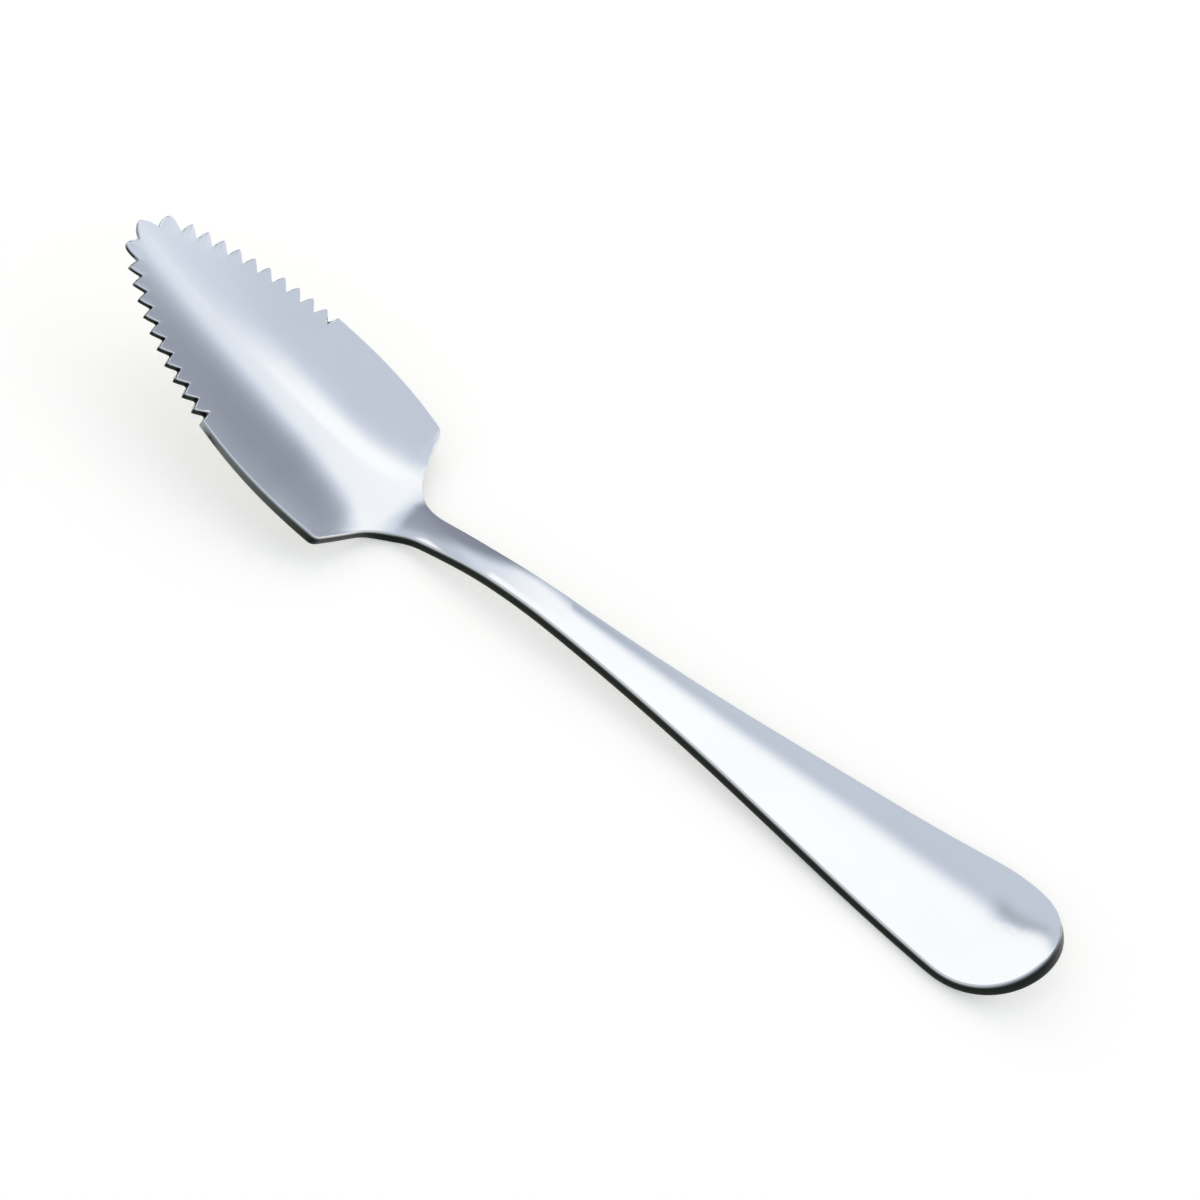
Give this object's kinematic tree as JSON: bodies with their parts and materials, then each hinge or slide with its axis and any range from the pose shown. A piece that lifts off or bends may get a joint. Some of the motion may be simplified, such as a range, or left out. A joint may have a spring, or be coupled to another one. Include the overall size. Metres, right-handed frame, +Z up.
{
  "type": "grapefruit spoon",
  "caption": "One-piece steel grapefruit spoon: pointed, dished blade with toothed front edges, square shoulders, narrow neck and a flat handle that widens to a round, upturned end.",
  "frame": {"origin": "middle of the spoon's outer size, on the table it rests on", "axes": "+X along the spoon from the toothed tip to the round end of the handle, +Y across it, +Z up, with the hollow side of the blade upwards"},
  "size_m": [0.169, 0.0344, 0.0217],
  "materials": {
    "polished_steel": "bright polished stainless steel with a faint grain along the spoon"
  },
  "bodies": {
    "root": {"spoon": "polished_steel"}
  },
  "joints": []
}
